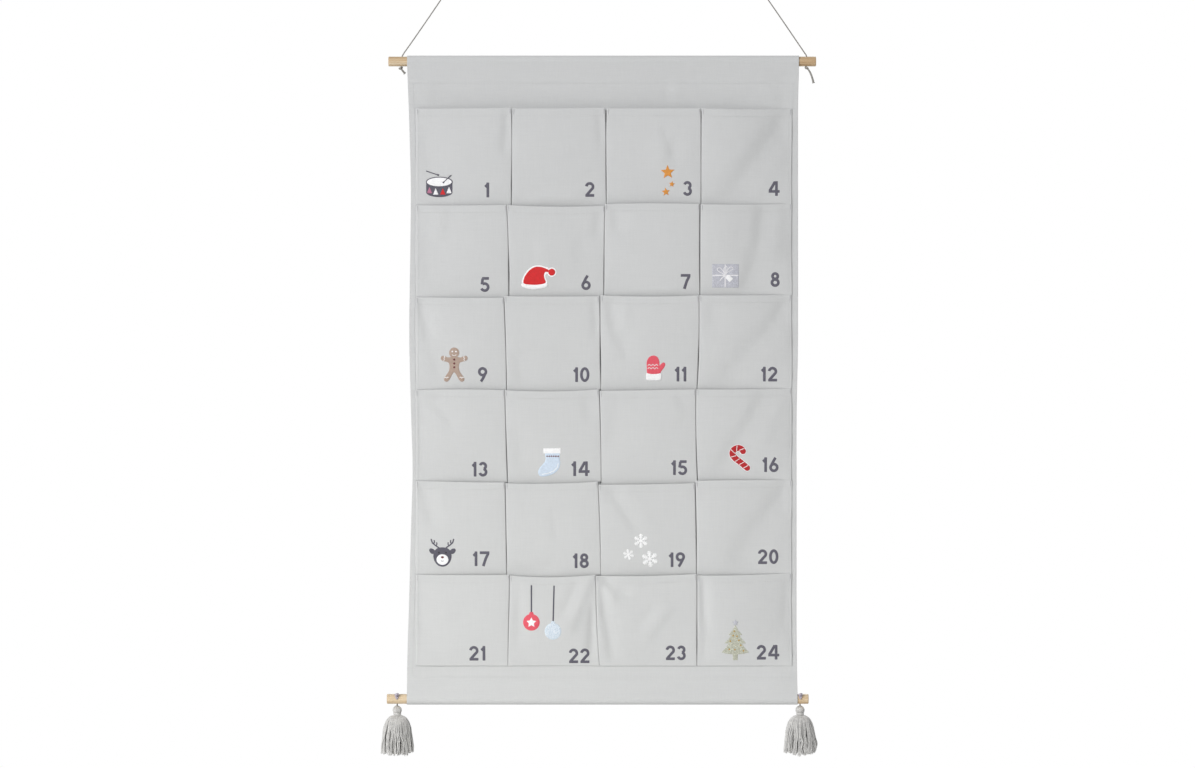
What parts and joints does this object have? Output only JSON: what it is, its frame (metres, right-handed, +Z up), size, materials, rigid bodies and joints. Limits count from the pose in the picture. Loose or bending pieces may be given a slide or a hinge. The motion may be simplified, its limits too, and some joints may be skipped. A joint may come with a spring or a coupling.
{
  "type": "fabric advent calendar",
  "caption": "Wall-hanging fabric advent calendar: a canvas panel with rows of patch pockets, held between wooden rods, with a hanging cord and yarn tassels.",
  "frame": {"origin": "the middle of the line between the two points at which the hanging cord rests on its hooks; the calendar hangs below it", "axes": "+Z up, along the height; -Y out of the front, so +Y goes towards the wall; +X to the right seen from the front"},
  "size_m": [0.6696, 0.0524, 1.2451],
  "materials": {
    "canvas": "matte",
    "wood": "satin",
    "cord": "matte",
    "yarn": "matte"
  },
  "bodies": {
    "hanger": {"top_dowel": "wood", "hanging_cord": "cord", "left_cord_knot": "cord", "right_cord_knot": "cord"},
    "panel": {"backing_panel": "canvas", "pocket_01": "canvas", "pocket_02": "canvas", "pocket_03": "canvas", "pocket_04": "canvas", "pocket_05": "canvas", "pocket_06": "canvas", "pocket_07": "canvas", "pocket_08": "canvas", "pocket_09": "canvas", "pocket_10": "canvas", "pocket_11": "canvas", "pocket_12": "canvas", "pocket_13": "canvas", "pocket_14": "canvas", "pocket_15": "canvas", "pocket_16": "canvas", "pocket_17": "canvas", "pocket_18": "canvas", "pocket_19": "canvas", "pocket_20": "canvas", "pocket_21": "canvas", "pocket_22": "canvas", "pocket_23": "canvas", "pocket_24": "canvas"},
    "bottom_rail": {"bottom_dowel": "wood", "left_tassel_knot": "yarn", "right_tassel_knot": "yarn"},
    "left_tassel_link": {"left_tassel_cord": "yarn"},
    "left_tassel": {"left_tassel_head": "yarn", "left_tassel_binding": "yarn", "left_tassel_skirt": "yarn"},
    "right_tassel_link": {"right_tassel_cord": "yarn"},
    "right_tassel": {"right_tassel_head": "yarn", "right_tassel_binding": "yarn", "right_tassel_skirt": "yarn"}
  },
  "joints": [
    {"name": "panel_swing", "type": "hinge", "parent": "hanger", "child": "panel", "pos_m": [0, 0, -0.18], "axis": [-1, 0, 0], "range_deg": [0, 80]},
    {"name": "bottom_rail_slide", "type": "slide", "parent": "panel", "child": "bottom_rail", "axis": [1, 0, 0], "range_m": [0, 0.011]},
    {"name": "left_tassel_swing", "type": "hinge", "parent": "bottom_rail", "child": "left_tassel_link", "pos_m": [-0.3153, 0.00674, -1.16126], "axis": [1, 0, 0], "range_deg": [-35, 50]},
    {"name": "left_tassel_sway", "type": "hinge", "parent": "left_tassel_link", "child": "left_tassel", "pos_m": [-0.3153, 0.00789, -1.1651], "axis": [0, 1, 0], "range_deg": [-25, 40]},
    {"name": "right_tassel_swing", "type": "hinge", "parent": "bottom_rail", "child": "right_tassel_link", "pos_m": [0.3019, 0.00674, -1.16126], "axis": [1, 0, 0], "range_deg": [-35, 50]},
    {"name": "right_tassel_sway", "type": "hinge", "parent": "right_tassel_link", "child": "right_tassel", "pos_m": [0.3019, 0.00789, -1.1651], "axis": [0, 1, 0], "range_deg": [-40, 25]}
  ]
}
